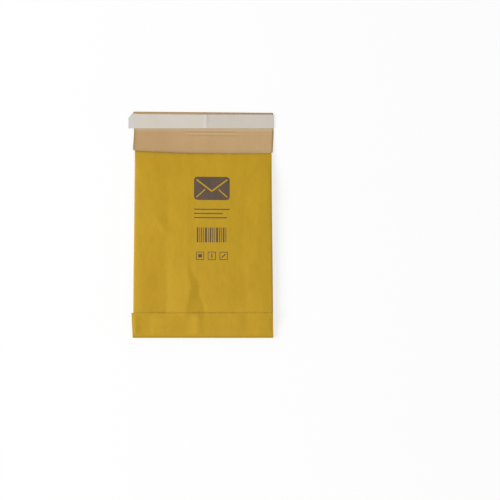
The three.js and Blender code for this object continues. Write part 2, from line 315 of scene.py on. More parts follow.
# Each of its fold lines is a pair (x, height): full in the middle of its width, low at its free edge.
STRIP_PLACES = [
    (-76, 1.45), (-72.4, 1.25), (-67.5, 0.15), (-57, 0), (-50, 0.95), (-44, 1.2), (-31.5, 1.3), (-25, 0.75),
    (-18, 0.65), (-14, 0.8), (-10.5, 1.35), (-7.3, 2.15), (-4.1, 2.5), (-1.3, 1.7), (2.4, 1.35), (5.6, 1.5),
    (11, 1.4), (20, 1.1), (38, 1.3), (46, 0.6), (60, 1.3), (76, 0.9),
]
STRIP_LINES = [
    [(-97, x, 0.7 * z), (-92, x, z), (-78, x, z), (-72, x, 0.06 * z)] for x, z in STRIP_PLACES
]


def strip_shift(y):
    """Middle of the turned-up end: further to the left the nearer to its free edge."""
    return STRIP_SHIFT * (1.0 - STRIP_SKEW + STRIP_SKEW * (y - BOTTOM) / STRIP_LENGTH)


def strip_under(x, y):
    """Underside of the turned-up end: on the back, bridging its valleys, and level past its sides."""
    relief = dents(x, y)
    followed = STRIP_FOLLOWS + FREE_EDGE_FOLLOWS * ease(y, STRIP_EDGE - FREE_STRETCH, STRIP_EDGE)
    level = half_width(y) - STRIP_OVERHANG
    return back_without_dents(np.clip(x, -level, level), y) + np.maximum(relief, followed * relief) + TOUCH


def strip_top(x, y):
    """Upper side of the turned-up end: four papers above its underside, and its own facets."""
    from_side = np.maximum(STRIP_WIDTH / 2 - EDGE_ROUND - np.abs(x - strip_shift(y)), 0.0)
    held = (1.0 - np.exp(-from_side / SIDE_FALL)) * ease(y, BOTTOM + FACETS_FROM, BOTTOM + FACETS_FULL)
    return strip_under(x, y) + STRIP_THICKNESS + soft_facets(x, y, STRIP_LINES) * held


end_x, end_y = np.meshgrid(np.linspace(-70, 70, 141), np.linspace(BOTTOM + FACETS_FULL, STRIP_EDGE, 21))
print(f"turned-up end up to {strip_top(end_x, end_y).max():.1f} mm above the table")

# %% [markdown]
# ## The flap
#
# The flap has no fibre. It droops from the mouth and turns up again at its scored crease, which is a
# low rib between two pressed lines. No bag is cut quite square, so a last step shifts every point a
# little along its length: the mouth comes out bowed and slanted, and the flap leans.

# %% Work out the flap
# The score's middle, its lines' distance from it, the rib's height, and the lines' depth and width.
SCORE, SCORE_HALF, RIB_HEIGHT, LINE_DEPTH, LINE_WIDTH = CREASE - 1.2, 1.6, 0.3, 0.2, 0.6
# It is faint at the flap's sides, and comes up to its full strength between these places.
FAINT_SCORE, SCORE_COMES, SCORE_GOES = 0.1, (-24.0, -12.0), (-42.0, -30.0)
FLAP_SWAY, SWAY_LENGTH, SWAY_START = 0.18, 19.0, 4.0


def score_reach(x):
    """How strongly the score was pushed in across the flap: strongly right of the middle, hardly at the sides.
    """
    return FAINT_SCORE + (1.0 - FAINT_SCORE) * ease(x, *SCORE_COMES) * ease(-x, *SCORE_GOES)


def flap_rise(x, y):
    """Height of the flap against the mouth: droop, then tilt, a slow sway, and the score."""
    rise = FLAP_TILT * np.maximum(y - CREASE, 0.0) / FLAP_CREASE - FLAP_DROOP * ease(y, MOUTH, CREASE)
    off = np.abs(y - SCORE)
    lines = LINE_DEPTH * np.exp(-(((off - SCORE_HALF) / LINE_WIDTH) ** 2))
    score = RIB_HEIGHT * np.exp(-(off**2)) - lines
    sway = FLAP_SWAY * np.sin(x / SWAY_LENGTH + 1.0) * ease(y, MOUTH + SWAY_START, FLAP_EDGE)
    return rise + score_reach(x) * score + sway


# Below this place the bag is square, and above it the cut runs askew.
SQUARE_UP_TO = BOTTOM + 60.0


def flap_lean(y):
    """Sideways place of the flap: it leans a little to the right up to its crease, and back beyond it."""
    return np.interp(y, [MOUTH, MOUTH + 1.0, CREASE, FLAP_EDGE], [0.0, -0.5, 0.6, -0.1])


def skew(points):
    """Shifts points along Y: back, minus a slant times X, plus a bow times X squared, as the bag was cut."""
    x, y = points[..., 0], points[..., 1]
    places = [SQUARE_UP_TO, MOUTH, CREASE, FLAP_EDGE]
    back = np.interp(y, places, [0.0, 0.96, 0.1, 0.35])
    slant = np.interp(y, places, [0.0, 0.0191, 0.008, 0.009])
    bow = np.interp(y, places, [0.0, 0.0003, 0.0, 0.0])
    return np.stack([x, y - back - slant * x + bow * x**2, points[..., 2]], axis=-1)


print(f"crease {flap_rise(0.0, CREASE):.2f} mm, edge {flap_rise(0.0, FLAP_EDGE):.2f} mm against the mouth")

# %% [markdown]
# ## From arrays to meshes
#
# Every piece is a grid of points, so its faces come from one array of point numbers. The sheets
# also carry a UV map that holds their place on the flat blank, so that the paper's grain turns
# with the paper at a fold, and two attributes: how pale a place is, from wear near a fold or a cut
# edge and from painted highlight, and how dark it is, from painted shade and a darker edge.

# %% Make the mesh helpers
# The UV map's unit is a square of this size, which holds the largest blank.
BLANK = 310.0


def quads(numbers):
    """The faces of a grid of point numbers: each cell's four corners, facing away from +Z on a plan."""
    a, b = numbers[:-1, :-1], numbers[:-1, 1:]
    c, d = numbers[1:, 1:], numbers[1:, :-1]
    return np.stack([a, d, c, b], axis=-1).reshape(-1, 4)


def make_piece(name, points, faces, material, blank=None, **marks):
    """A mesh object at the origin from points in millimetres, with its blank places and point values."""
    mesh = bpy.data.meshes.new(name)
    mesh.from_pydata((points * MM).tolist(), [], faces.tolist())
    mesh.polygons.foreach_set("use_smooth", np.ones(len(mesh.polygons), bool))
    if blank is not None:
        corners = np.zeros(len(mesh.loops), np.int32)
        mesh.loops.foreach_get("vertex_index", corners)
        layer = mesh.uv_layers.new(name="blank")
        layer.data.foreach_set("uv", (blank[corners] / BLANK).astype(np.float32).ravel())
    for label, values in marks.items():
        attribute = mesh.attributes.new(label, "FLOAT", "POINT")
        attribute.data.foreach_set("value", values.astype(np.float32))
    mesh.materials.append(material)
    piece = bpy.data.objects.new(name, mesh)
    bpy.context.scene.collection.objects.link(piece)
    mesh.update()
    print(f"{name}: {len(points)} points, {len(faces)} faces")
    return piece


def thicken(piece, thickness):
    """Gives a sheet its paper's thickness, inwards from the modelled side."""
    solid = piece.modifiers.new("paper", "SOLIDIFY")
    solid.thickness = thickness * MM
    solid.offset = -1.0
    solid.use_even_offset = False


print(f"a UV map spans {BLANK:.0f} mm of flat paper")

# %% [markdown]
# ## Paper grain, wear and painted light and shade, shared by every sheet
#
# All papers here show the same two effects with different strengths. Pulp leaves long faint fibres,
# fine specks and soft clouds of denser paper. Folds and cut edges rub pale, and light and shade are
# painted on some lines. Each effect is a node group that gives out values which change over the
# surface, and each paper mixes them in its own measure.

# %% Build the shared node groups
def new_group(name, inputs, outputs):
    """An empty shader node group with named float, vector or colour sockets."""
    tree = bpy.data.node_groups.new(name, "ShaderNodeTree")
    for label, kind, value in inputs:
        socket = tree.interface.new_socket(label, in_out="INPUT", socket_type=kind)
        if value is not None:
            socket.default_value = value
    for label, kind in outputs:
        tree.interface.new_socket(label, in_out="OUTPUT", socket_type=kind)
    return tree, tree.nodes.new("NodeGroupInput"), tree.nodes.new("NodeGroupOutput")


def put(tree, kind, links=None, **values):
    """Adds a node, sets its own properties and sockets by name, and links its inputs."""
    node = tree.nodes.new(kind)
    for key, value in values.items():
        if hasattr(node, key):
            setattr(node, key, value)
        else:
            node.inputs[key.replace("_", " ")].default_value = value
    for key, source in (links or {}).items():
        tree.links.new(source, node.inputs[key])
    return node


def noise(tree, vector, scale, stretch, detail=3.0, roughness=0.55):
    """A noise value over millimetre places, stretched by a share on each axis."""
    mapped = put(tree, "ShaderNodeMapping", {"Vector": vector}, Scale=stretch).outputs["Vector"]
    look = {"Scale": scale, "Detail": detail, "Roughness": roughness}
    return put(tree, "ShaderNodeTexNoise", {"Vector": mapped}, **look).outputs["Fac"]


def calc(tree, operation, first, second):
    """One math node: each input is a socket or a plain number."""
    node = tree.nodes.new("ShaderNodeMath")
    node.operation = operation
    for socket, value in zip(node.inputs, (first, second)):
        if isinstance(value, (int, float)):
            socket.default_value = value
        else:
            tree.links.new(value, socket)
    return node.outputs["Value"]


def build_paper_grain():
    """Clouds, fibres and specks around zero, a fine and a lumpy height for bumps, from millimetre places."""
    tree, given, result = new_group(
        "paper grain",
        [("Place", "NodeSocketVector", None), ("Fibre Strength", "NodeSocketFloat", 1.0)],
        [("Tone", "NodeSocketFloat"), ("Height", "NodeSocketFloat"), ("Lumps", "NodeSocketFloat")],
    )
    place = given.outputs["Place"]
    clouds = noise(tree, place, 0.055, (1.0, 0.55, 1.0), detail=4.0)
    fibres = noise(tree, place, 0.9, (1.0, 0.12, 1.0), detail=4.0, roughness=0.65)
    specks = noise(tree, place, 2.2, (1.0, 1.0, 1.0), detail=2.0, roughness=0.7)
    soft = calc(tree, "MULTIPLY", calc(tree, "SUBTRACT", clouds, 0.5), 0.9)
    long = calc(tree, "MULTIPLY", calc(tree, "SUBTRACT", fibres, 0.5), given.outputs["Fibre Strength"])
    fine = calc(tree, "MULTIPLY", calc(tree, "SUBTRACT", specks, 0.5), 0.5)
    tone = calc(tree, "ADD", calc(tree, "ADD", soft, long), fine)
    height = calc(tree, "ADD", fibres, calc(tree, "MULTIPLY", specks, 0.6))
    tree.links.new(tone, result.inputs["Tone"])
    tree.links.new(height, result.inputs["Height"])
    lumps = noise(tree, place, 0.11, (1.0, 0.7, 1.0), detail=2.0, roughness=0.4)
    tree.links.new(lumps, result.inputs["Lumps"])
    return tree


def build_wear_and_shade():
    """Masks of wear with painted highlight, and of painted shade: the sheet's attributes, broken up by noise.
    """
    tree, given, result = new_group(
        "wear and painted shade",
        [("Place", "NodeSocketVector", None), ("Reach", "NodeSocketFloat", 1.0)],
        [("Rubbed and Lit", "NodeSocketFloat"), ("Shade and Edge", "NodeSocketFloat")],
    )
    near = put(tree, "ShaderNodeAttribute", attribute_name="wear").outputs["Fac"]
    shade_values = put(tree, "ShaderNodeAttribute", attribute_name="press").outputs["Fac"]
    patches = noise(tree, given.outputs["Place"], 0.35, (1.0, 1.0, 1.0), detail=5.0, roughness=0.7)
    spread = calc(tree, "MULTIPLY", near, calc(tree, "ADD", patches, 0.25))
    strong = calc(tree, "MULTIPLY", spread, given.outputs["Reach"])
    tree.links.new(calc(tree, "MINIMUM", strong, 1.0), result.inputs["Rubbed and Lit"])
    broken_shade = calc(tree, "MULTIPLY", shade_values, calc(tree, "ADD", patches, 0.35))
    tree.links.new(calc(tree, "MINIMUM", broken_shade, 1.0), result.inputs["Shade and Edge"])
    return tree


paper_grain = build_paper_grain()
wear_and_shade_group = build_wear_and_shade()
print("node groups:", paper_grain.name, "and", wear_and_shade_group.name)

# %% [markdown]
# ## The papers
#
# The outside is kraft paper dyed ochre. The dye sits in the surface, so rubbed folds show the paler
# pulp. The lining is the same paper undyed. The release liner is thin white paper with a silicone
# coat, smoother and a little shiny. All three are one recipe with its own colours and strengths.

# %% Mix the papers
# A Mix node has a set of sockets for each kind of value: these are the ones for colours.
FIRST_COLOUR, SECOND_COLOUR, MIXED_COLOUR = 6, 7, 2
# How far the finest grain stands out, in millimetres.
GRAIN_HEIGHT = 0.2


def blank_places(tree):
    """Places on the flat blank in millimetres, from the sheet's UV map."""
    where = put(tree, "ShaderNodeUVMap", uv_map="blank").outputs["UV"]
    return put(tree, "ShaderNodeMapping", {"Vector": where}, Scale=(BLANK,) * 3).outputs["Vector"]


def solid_places(tree):
    """Places in the object in millimetres."""
    where = put(tree, "ShaderNodeTexCoord").outputs["Object"]
    return put(tree, "ShaderNodeMapping", {"Vector": where}, Scale=(1 / MM,) * 3).outputs["Vector"]


def new_material(name):
    """A material with nodes: the material, its node tree and its surface shader."""
    material = bpy.data.materials.new(name)
    material.use_nodes = True
    return material, material.node_tree, material.node_tree.nodes["Principled BSDF"]


def bump(tree, height, strength, distance, **more):
    """A normal from a height, with its strength and its distance in millimetres, on top of another if given."""
    node = put(tree, "ShaderNodeBump", {"Height": height, **more}, Strength=strength, Distance=distance * MM)
    return node.outputs["Normal"]


def mix_colour(tree, share, first, second):
    """A colour between two, each a socket or a plain colour, by a share socket."""
    node = tree.nodes.new("ShaderNodeMix")
    node.data_type = "RGBA"
    tree.links.new(share, node.inputs["Factor"])
    for number, value in ((FIRST_COLOUR, first), (SECOND_COLOUR, second)):
        if isinstance(value, tuple):
            node.inputs[number].default_value = (*value, 1.0)
        else:
            tree.links.new(value, node.inputs[number])
    return node.outputs[MIXED_COLOUR]


def paper_material(name, deep, pale, worn_and_lit_colour, pressed, contrast, roughness, rough_feel, fibre, lumps):
    """Paper: deep to pale with the grain; paler with wear and painted highlight, darker with painted shade."""
    material, tree, shader = new_material(name)
    place = blank_places(tree)
    grain = put(tree, "ShaderNodeGroup", node_tree=paper_grain, Fibre_Strength=fibre)
    tree.links.new(place, grain.inputs["Place"])
    edges = put(tree, "ShaderNodeGroup", node_tree=wear_and_shade_group, Reach=0.8)
    tree.links.new(place, edges.inputs["Place"])
    tone = calc(tree, "MULTIPLY", grain.outputs["Tone"], contrast)
    share = put(tree, "ShaderNodeClamp", {"Value": calc(tree, "ADD", tone, 0.5)}).outputs["Result"]
    sheet = mix_colour(tree, share, deep, pale)
    # Wear and painted highlight mix in the pale colour; painted shade and a darker edge mix in the dark one.
    worn_and_lit = mix_colour(tree, edges.outputs["Rubbed and Lit"], sheet, worn_and_lit_colour)
    tree.links.new(mix_colour(tree, edges.outputs["Shade and Edge"], worn_and_lit, pressed), shader.inputs["Base Color"])
    rough = calc(tree, "ADD", calc(tree, "MULTIPLY", grain.outputs["Tone"], 0.15), roughness)
    tree.links.new(rough, shader.inputs["Roughness"])
    shader.inputs["Specular IOR Level"].default_value = 0.2
    fine = bump(tree, grain.outputs["Height"], rough_feel, GRAIN_HEIGHT)
    tree.links.new(bump(tree, grain.outputs["Lumps"], 1.0, lumps, Normal=fine), shader.inputs["Normal"])
    return material


# Each paper's third colour is for wear and painted highlight, its fourth for painted shade and darker edges.
ochre_kraft = paper_material(
    "ochre kraft paper", (0.455, 0.272, 0.009), (0.545, 0.33, 0.014), (0.62, 0.4, 0.08), (0.3, 0.17, 0.01),
    contrast=1.1, roughness=0.62, rough_feel=0.25, fibre=0.5, lumps=0.6,
)
tan_kraft = paper_material(
    "tan kraft paper", (0.481, 0.308, 0.144), (0.563, 0.369, 0.182), (0.62, 0.45, 0.27), (0.23, 0.13, 0.055),
    contrast=1.1, roughness=0.7, rough_feel=0.25, fibre=0.6, lumps=0.25,
)
release_paper = paper_material(
    "release paper", (0.595, 0.545, 0.48), (0.68, 0.63, 0.56), (0.7, 0.7, 0.69), (0.45, 0.4, 0.34),
    contrast=0.9, roughness=0.38, rough_feel=0.08, fibre=0.25, lumps=0.2,
)
print("papers:", ", ".join(paper.name for paper in (ochre_kraft, tan_kraft, release_paper)))

# %% [markdown]
# ## A flattened tube, bent over at the bottom
#
# Both papers are the same thing to a maker: a tube, pressed flat, whose bottom end is turned up and
# whose front runs on as the flap. A cloth simulation could fold it, but a folded end is a plain
# curve, so it is written down: the tube's ring of points is carried from the free edge of the
# turned-up end, round the bend and up to the mouth. Then the flap goes on from the front half of
# the last ring, sharing its points, so the sheet has no seam there.

# %% Carry the ring along the bag
FRONT_COLUMNS, BACK_COLUMNS, SIDE_POINTS = 80, 140, 11
STRIP_ROWS, BEND_ROWS, BODY_ROWS, FLAP_ROWS = 22, 11, 146, 60


def ring_run(across, inset, body_height, turned_height):
    """One flat side of the tube: rows on the turned-up end, a half ellipse round the bend, the body."""
    y_end = np.linspace(STRIP_EDGE, FOLD_AXIS, STRIP_ROWS)[:, None]
    y_body = np.linspace(FOLD_AXIS, MOUTH, BODY_ROWS)[:, None]
    x_end = strip_shift(y_end) + across * (STRIP_WIDTH / 2 - inset - EDGE_ROUND)
    x_body = across * (half_width(y_body) - inset - edge_round(y_body))
    z_end, z_body = turned_height(x_end, y_end), body_height(x_body, y_body)
    turn = np.linspace(np.pi, 0.0, BEND_ROWS + 2)[1:-1, None]
    middle, radius = (z_end[-1] + z_body[0]) / 2, (z_end[-1] - z_body[0]) / 2
    x_bend = x_body[0] + (x_end[-1] - x_body[0]) * ease(turn, 0.0, 1.0)
    y_bend = FOLD_AXIS - np.abs(radius) * np.sin(turn)
    z_bend = middle - radius * np.cos(turn)
    return np.concatenate(
        [
            np.stack([x_end, y_end + 0.0 * x_end, z_end], axis=-1),
            np.stack([x_bend, y_bend, z_bend], axis=-1),
            np.stack([x_body, y_body + 0.0 * x_body, z_body], axis=-1),
        ]
    )


def side_fold(near, far, bulge):
    """The rounded side fold: half an ellipse from one flat side to the other, bulging out along X."""
    angle = np.linspace(0.0, np.pi, SIDE_POINTS + 2)[1:-1][None, :, None]
    middle, reach = ((near + far) / 2)[:, None], ((near - far) / 2)[:, None]
    out = np.stack([bulge, 0.0 * bulge, 0.0 * bulge], axis=-1)[:, None]
    return middle + reach * np.cos(angle) + out * np.sin(angle)


ring_points = FRONT_COLUMNS + BACK_COLUMNS + 2 * SIDE_POINTS
print(f"ring of {ring_points} points, carried over {STRIP_ROWS + BEND_ROWS + BODY_ROWS} rows")

# %% [markdown]
# ## Where the paper is rubbed, and where light and shade are painted
#
# Dyed paper goes pale along folds and cut edges, and the flap's top edge is darker. Other marks are
# painted light: a highlight on the score's rib, and painted shade in the score lines, along the bottom
# bend and below the back's lip. Some parts are only a little paler or darker. These marks could be
# painted on a picture, but the sheet knows where its folds are, so each mark is a short fall-off with
# the distance to a fold, kept as a value at every point.

# %% Work out wear, painted highlight and painted shade
# The tube: its side folds, its free edge with the reach of its wear, and its slightly paler lower part.
FOLD_WEAR, FREE_EDGE_WEAR, FREE_EDGE_REACH = 0.15, 0.4, 1.2
LOWER_PALENESS, LOWER_PALENESS_SPAN = 0.12, (-170.0, -20.0)
# Painted shade darkens the bottom bend in its middle and along its upper line, and the back at its lip.
BEND_SHADE, BEND_REACH, BEND_LINE_SHADE = 0.45, 1.6, 0.5
LIP_SHADE, LIP_REACH, LIP_EASED, LIP_SPAN = 0.75, 1.7, 0.6, (-30.0, 30.0)
# The flap: a painted highlight on its rib, a pale band beyond the crease, and its paler right half.
RIB_HIGHLIGHT, PALE_BAND, RIGHT_PALE, RIGHT_SPAN = 0.9, 0.8, 0.13, (0.0, 60.0)
BAND_COMES, BAND_GOES = (CREASE + 1.0, CREASE + 3.0), (-CREASE - 7.0, -CREASE - 5.0)
# Painted shade in its score lines. Then its top edge, which is darker on the right, its left edge, and
# its darker left part.
SCORE_LINE_SHADE, SCORE_SHADE = 0.4, 0.55
TOP_PRESS, TOP_MORE, TOP_SPAN, TOP_REACH = 0.35, 0.4, (-30.0, 40.0), 0.9
LEFT_EDGE_DARKER, LEFT_REACH = 0.9, 1.0
LEFT_DARKER, LEFT_DARKER_ACROSS, LEFT_DARKER_ALONG = 0.1, (-10.0, 60.0), (-CREASE - 3.0, -CREASE + 1.0)


def ring_marks(ring, along):
    """Wear and painted shade of the tube: each mark falls off with the way along the paper from its fold or
    edge.
    """
    column = np.arange(ring.shape[1])
    on_right = (column >= FRONT_COLUMNS) & (column < FRONT_COLUMNS + SIDE_POINTS)
    on_fold = on_right | (column >= ring.shape[1] - SIDE_POINTS)
    lower_pale = LOWER_PALENESS * ease(-along, *LOWER_PALENESS_SPAN)[:, None]
    free_edge = FREE_EDGE_WEAR * np.exp(-along[:, None] / FREE_EDGE_REACH)
    wear = np.maximum(FOLD_WEAR * on_fold, free_edge + lower_pale)
    from_middle = (along - along[STRIP_ROWS + BEND_ROWS // 2]) / BEND_REACH
    from_line = along - along[STRIP_ROWS]
    # Painted shade at the bottom bend: in its middle and along its upper line.
    bend = BEND_SHADE * np.exp(-(from_middle**2)) + BEND_LINE_SHADE * np.exp(-(from_line**2))
    # Painted shade on the back just below its lip, less on the right.
    behind = (column >= FRONT_COLUMNS) * (1.0 - LIP_EASED * ease(ring[..., 0], *LIP_SPAN))
    lip = LIP_SHADE * np.exp(-(along[-1] - along) / LIP_REACH)[:, None] * behind
    return wear.ravel(), (bend[:, None] + lip).ravel()


def flap_marks(x, y, from_left, from_top):
    """Wear, painted highlight and shade of the flap, from its places and distances to its left and top edge."""
    off = np.abs(y - SCORE)
    # A painted highlight along the score's rib.
    rib = RIB_HIGHLIGHT * score_reach(x) * np.exp(-(off**2))
    band = PALE_BAND * ease(y, *BAND_COMES) * ease(-y, *BAND_GOES)
    wear = np.clip(rib + band + RIGHT_PALE * ease(x, *RIGHT_SPAN), 0, 1)
    # Painted shade in the score's two grooves.
    lines = SCORE_LINE_SHADE * score_reach(x) * np.exp(-(((off - SCORE_HALF) / SCORE_SHADE) ** 2))
    top = (TOP_PRESS + TOP_MORE * ease(x, *TOP_SPAN)) * np.exp(-from_top / TOP_REACH)
    left = LEFT_EDGE_DARKER * np.exp(-from_left / LEFT_REACH)
    left_dark = LEFT_DARKER * ease(-x, *LEFT_DARKER_ACROSS) * ease(-y, *LEFT_DARKER_ALONG)
    return wear.ravel(), (np.maximum(np.maximum(lines, top), left) + left_dark).ravel()


print(f"flap wear {flap_marks(0.0, SCORE, BODY_WIDTH / 2, FLAP_CREASE)[0][0]:.2f} on the rib")

# %% [markdown]
# ## One sheet from tube and flap
#
# The tube and the flap now become one mesh. Its flat places come from unrolling it: the way round the
# ring goes across the blank, and the way along the bag goes up it.

# %% Put a sheet together
def unrolled(ring, x_flap, y_flap):
    """The way along the bag at each ring, and all places on the blank: summed steps round and along."""
    steps = np.linalg.norm(np.diff(ring, axis=0), axis=-1)[:, :FRONT_COLUMNS].mean(axis=1)
    along = np.concatenate([[0.0], np.cumsum(steps)])
    gaps = np.linalg.norm(np.diff(ring[len(ring) // 2], axis=0), axis=-1)
    girth = np.concatenate([[0.0], np.cumsum(gaps)])
    tube = np.stack(np.broadcast_arrays(girth[None, :], along[:, None]), axis=-1)
    flap = np.stack([x_flap - x_flap[0, 0], y_flap - MOUTH + along[-1] + 0.0 * x_flap], axis=-1)
    return along, np.concatenate([tube.reshape(-1, 2), flap.reshape(-1, 2)])


def folded_sheet(
    name, material, inset, fill, front, back, turned_front, turned_back, flap_level, flap_inset
):
    """The whole sheet: the ring carried along the bag, and the flap that goes on from its front."""
    lower = ring_run(np.linspace(-1, 1, FRONT_COLUMNS), inset, front, turned_front)
    upper = ring_run(np.linspace(1, -1, BACK_COLUMNS), inset, back, turned_back)
    past_end = np.arange(len(lower)) >= STRIP_ROWS
    bulge = EDGE_ROUND + fill * between_hems(lower[:, 0, 1], END_ROUND) * past_end
    right = side_fold(lower[:, -1], upper[:, 0], bulge)
    left = side_fold(upper[:, -1], lower[:, 0], -bulge)
    ring = np.concatenate([lower, right, upper, left], axis=1)
    rows, columns = ring.shape[:2]
    numbers = np.arange(rows * columns).reshape(rows, columns)
    around = np.concatenate([numbers, numbers[:, :1]], axis=1)

    flap_top = FLAP_EDGE - flap_inset
    y_flap = np.linspace(MOUTH, flap_top, FLAP_ROWS + 1)[1:, None]
    root = half_width(MOUTH) - inset - edge_round(MOUTH)
    half = root + (BODY_WIDTH / 2 - flap_inset - root) * ease(y_flap, MOUTH, MOUTH + FLAP_FLARE)
    x_flap = np.linspace(-1, 1, FRONT_COLUMNS) * half + flap_lean(y_flap)
    flap = np.stack([x_flap, y_flap + 0.0 * x_flap, flap_level + flap_rise(x_flap, y_flap)], axis=-1)
    more = rows * columns + np.arange(flap.shape[0] * FRONT_COLUMNS).reshape(-1, FRONT_COLUMNS)
    on_flap = np.concatenate([numbers[-1:, :FRONT_COLUMNS], more])

    along, blank = unrolled(ring, x_flap, y_flap)
    from_left = half + x_flap - flap_lean(y_flap)
    on_ring = ring_marks(ring, along)
    beyond = flap_marks(x_flap, y_flap, from_left, flap_top - y_flap)
    wear, press = (np.concatenate(pair) for pair in zip(on_ring, beyond))
    points = np.concatenate([ring.reshape(-1, 3), flap.reshape(-1, 3)])
    faces = np.concatenate([quads(around), quads(on_flap)])
    return make_piece(name, skew(points), faces, material, blank, wear=wear, press=press)


# %% [markdown]
# ## The outer paper
#
# The ochre sheet follows the outsides of both walls. On the turned-up end its front lies on top and
# its back underneath, because the bend turns the tube over. The blank that it was folded from is
# as wide as the tube is round, and as long as the body, the flap and the turned-up end together.

# %% Fold the outer paper
wrapper = folded_sheet(
    "outer_paper", ochre_kraft, 0.0, EDGE_FILL, front_outside, back_outside, strip_top, strip_under,
    PAD_SPACE, 0.0,
)
thicken(wrapper, PAPER)
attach(wrapper, "root")
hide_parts("outer_wrapper")

# %% [markdown]
# ## The lining
#
# The tan sheet lines the pocket and faces the flap. Inside the turned-up end its two sides are
# pressed together, and only their cut edges show as a thin tan line at the free edge.

# %% Fold the lining
LINING_INSET, FACING_MARGIN = PAPER + 2 * TOUCH, 0.4
FACING = PAD_SPACE + PAPER + TOUCH


def pressed_top(x, y):
    """The lining's upper side in the turned-up end, just under the outer paper."""
    return strip_under(x, y) + STRIP_THICKNESS - PAPER - TOUCH / 2


def pressed_under(x, y):
    """The lining's lower side in the turned-up end, just above the outer paper."""
    return strip_under(x, y) + PAPER + TOUCH / 2


lining = folded_sheet(
    "inner_paper", tan_kraft, LINING_INSET, 0.0, floor_under, ceiling_top, pressed_top, pressed_under,
    FACING, FACING_MARGIN,
)
thicken(lining, LINING)
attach(lining, "root")
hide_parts("inner_lining")

# %% [markdown]
# ## The fibre
#
# Loose fibre fills both walls. It is never seen unless the bag is cut open, but it is what makes
# the bag soft, so it is there: a closed cushion in each wall, full in the middle and thin at the
# rim, with the lumps of shredded paper on it.

# %% Lay the fibre
FIBRE_ROWS, FIBRE_COLUMNS = 70, 56
FIBRE_LUMPS, FIBRE_CLEARANCE, SHRED_HEIGHT = 0.06, 0.15, 1.0


def fibre_material():
    """Shredded paper: grey and brown shreds from two stretched noises, with a strong bump."""
    material, tree, shader = new_material("shredded fibre")
    place = solid_places(tree)
    lengthwise = noise(tree, place, 0.45, (1.0, 0.3, 1.0), detail=5.0, roughness=0.7)
    crosswise = noise(tree, place, 0.45, (0.3, 1.0, 1.0), detail=5.0, roughness=0.7)
    shreds = calc(tree, "MAXIMUM", lengthwise, crosswise)
    share = put(tree, "ShaderNodeMapRange", {"Value": shreds}, From_Min=0.42, From_Max=0.72)
    colour = mix_colour(tree, share.outputs["Result"], (0.2, 0.175, 0.14), (0.5, 0.47, 0.41))
    tree.links.new(colour, shader.inputs["Base Color"])
    shader.inputs["Roughness"].default_value = 0.95
    tree.links.new(bump(tree, shreds, 0.7, SHRED_HEIGHT), shader.inputs["Normal"])
    return material


def fibre_cushion(name, under, material):
    """A closed cushion: a lower grid, and an upper one higher by fibre and lumps, joined at the rim."""
    start, end = BOTTOM + BOTTOM_HEM + PAD_MARGIN, MOUTH - MOUTH_HEM - PAD_MARGIN
    y = np.linspace(start, end, FIBRE_ROWS)[:, None]
    x = np.linspace(-1, 1, FIBRE_COLUMNS) * (half_width(y) - PAD_MARGIN)
    low = under(x, y)
    lumps = FIBRE_LUMPS * np.sin(x / 2.3 + np.sin(y / 3.1)) * np.sin(y / 2.7 + np.sin(x / 4.3))
    high = low + (PAD_THICKNESS + lumps) * within(x, y, SIDE_ROUND, END_ROUND)
    flat = y + 0.0 * x
    points = np.concatenate([np.stack([x, flat, z], -1).reshape(-1, 3) for z in (low, high)])
    lower = np.arange(x.size).reshape(x.shape)
    upper = lower + x.size
    rim = np.concatenate([lower[0, :-1], lower[:-1, -1], lower[-1, :0:-1], lower[::-1, 0]])
    rim_faces = quads(np.stack([rim, rim + x.size]))
    faces = np.concatenate([quads(lower), quads(upper)[:, ::-1], rim_faces])
    return make_piece(name, skew(points), faces, material)


def front_fibre_under(x, y):
    """Underside of the front fibre: the clearance above the front paper."""
    return front_outside(x, y) + PAPER + FIBRE_CLEARANCE


def back_fibre_under(x, y):
    """Underside of the back fibre: the clearance above the lining."""
    return ceiling_top(x, y) + FIBRE_CLEARANCE


shredded = fibre_material()
front_fibre = fibre_cushion("front_fibre", front_fibre_under, shredded)
back_fibre = fibre_cushion("back_fibre", back_fibre_under, shredded)
for cushion, node in ((front_fibre, "front_padding"), (back_fibre, "back_padding")):
    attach(cushion, "root")
    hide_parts(node)

# %% [markdown]
# ## The glue line and its release liner
#
# A band of sticky glue runs along the flap. A strip of coated paper covers it until the bag is
# closed. The strip is longer than the flap is wide, so that a finger can catch its end, and one
# corner of that tab is cut off. It was folded once in its middle, which left a low kink. Both are
# one grid each, laid on the height of the flap, so that neither can sink into it.

# %% Lay the glue
LINER_WIDTH, LINER_EDGE, LINER_THICKNESS = 14.8, 2.9, 0.1
LINER_TO, LINER_FROM = FLAP_EDGE - LINER_EDGE, FLAP_EDGE - LINER_EDGE - LINER_WIDTH
GLUE_MARGIN, GLUE_THICKNESS, RIPPLE_HEIGHT = 1.2, 0.1, 0.3
# The strip's upper edge rises a little to the left, and once more along its tab.
LINER_SLANT, SLANT_SPAN, TAB_SLANT, TAB_SPAN = 0.7, (-10.0, 80.0), 1.2, (68.0, 79.0)
STRIP_GRID_ROWS, STRIP_GRID_COLUMNS = 24, 220
# A strip's place on its blank, from its place on the plan.
STRIP_ON_BLANK = (80.0, 70.0)


def facing_top(x, y):
    """The flap's tan side."""
    return FACING + LINING + flap_rise(x, y)


def glue_material():
    """Clear glue over tan paper: honey-coloured, glossy, with faint ripples from its roller."""
    material, tree, shader = new_material("clear glue")
    ripples = noise(tree, solid_places(tree), 0.6, (0.15, 1.0, 1.0), detail=2.0)
    colour = mix_colour(tree, ripples, (0.46, 0.33, 0.17), (0.62, 0.5, 0.3))
    tree.links.new(colour, shader.inputs["Base Color"])
    tree.links.new(calc(tree, "MULTIPLY", ripples, 0.5), shader.inputs["Roughness"])
    tree.links.new(bump(tree, ripples, 0.3, RIPPLE_HEIGHT), shader.inputs["Normal"])
    return material


